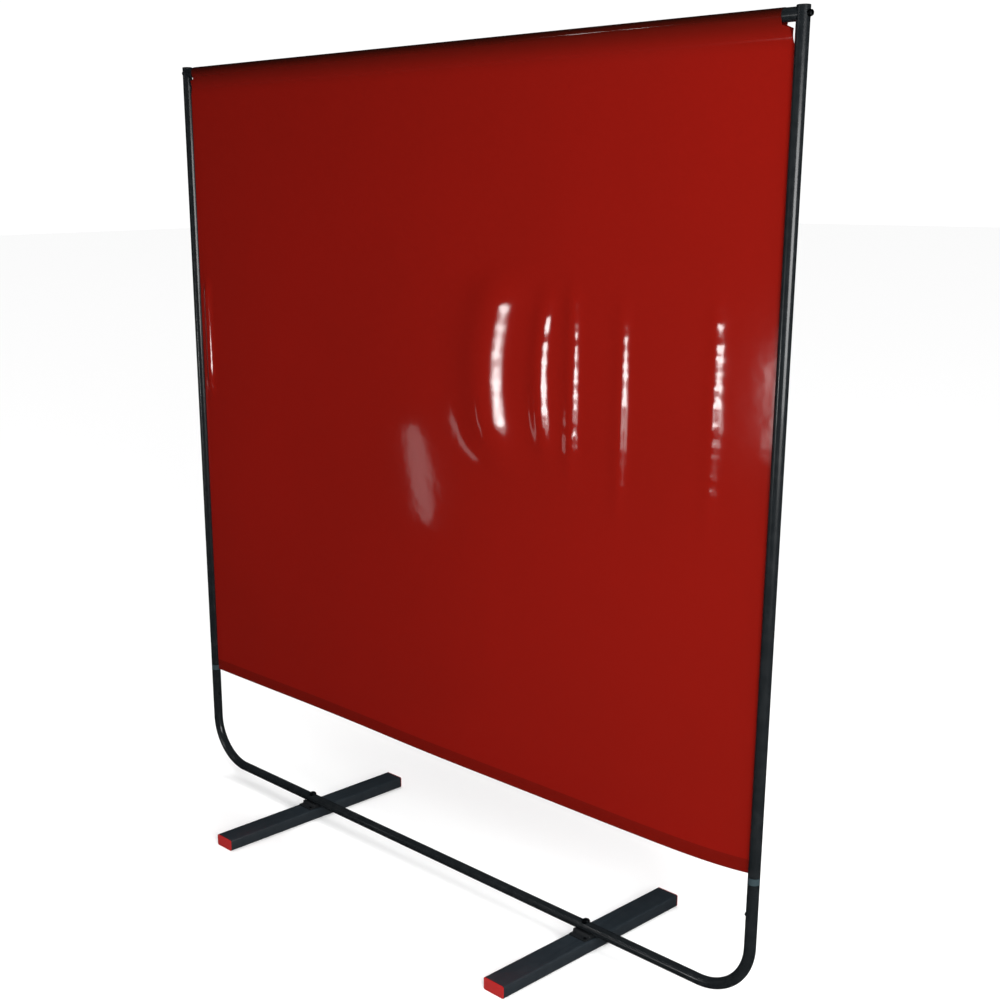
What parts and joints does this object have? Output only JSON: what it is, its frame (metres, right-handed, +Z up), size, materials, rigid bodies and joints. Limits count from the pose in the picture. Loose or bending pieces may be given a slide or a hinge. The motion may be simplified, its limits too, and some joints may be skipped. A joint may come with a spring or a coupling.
{
  "type": "welding curtain screen",
  "caption": "Free-standing welding screen: a red film curtain hung by a sleeve from the top bar of a round-tube frame on cross feet.",
  "frame": {"origin": "on the floor, midway between the feet and under the line of the top bar", "axes": "+X along the screen towards the right upright, +Y towards the rear, +Z up"},
  "size_m": [1.922, 0.6096, 2.0025],
  "materials": {
    "gloss_black_tube": "gloss black powder coat on round steel tube",
    "charcoal_foot": "satin charcoal powder coat on box tube",
    "red_plastic": "moulded red polyethylene end plug",
    "black_plastic": "moulded black nylon",
    "grey_plastic": "moulded blue-grey nylon",
    "black_steel": "black oxide fastener",
    "zinc_steel": "bright zinc plate",
    "red_film": "glossy dark red PVC film"
  },
  "bodies": {
    "base": {"base_tube": "gloss_black_tube", "left_connector_screw": "black_steel", "left_cradle_front_screw": "black_steel", "left_cradle_rear_screw": "black_steel", "left_foot": "charcoal_foot", "left_foot_bolt": "black_steel", "left_foot_front_cap": "red_plastic", "left_foot_rear_cap": "red_plastic", "left_foot_rivet_nut": "zinc_steel", "left_foot_washer": "black_steel", "left_rail_cradle": "black_plastic", "left_tube_connector": "grey_plastic", "right_connector_screw": "black_steel", "right_cradle_front_screw": "black_steel", "right_cradle_rear_screw": "black_steel", "right_foot": "charcoal_foot", "right_foot_bolt": "black_steel", "right_foot_front_cap": "red_plastic", "right_foot_rear_cap": "red_plastic", "right_foot_rivet_nut": "zinc_steel", "right_foot_washer": "black_steel", "right_rail_cradle": "black_plastic", "right_tube_connector": "grey_plastic"},
    "upper_frame": {"left_bar_bolt": "black_steel", "left_bar_insert": "zinc_steel", "left_bar_washer": "black_steel", "left_upright": "gloss_black_tube", "left_upright_cap": "black_plastic", "right_bar_bolt": "black_steel", "right_bar_insert": "zinc_steel", "right_bar_washer": "black_steel", "right_upright": "gloss_black_tube", "right_upright_cap": "black_plastic", "top_bar": "gloss_black_tube"},
    "curtain": {"curtain": "red_film"}
  },
  "joints": [
    {"name": "frame_lift", "type": "slide", "parent": "base", "child": "upper_frame", "axis": [0, 0, 1], "range_m": [0, 0.09]},
    {"name": "curtain_swing", "type": "hinge", "parent": "upper_frame", "child": "curtain", "pos_m": [0, 0, 1.9875], "axis": [1, 0, 0], "range_deg": [-60, 60]}
  ]
}
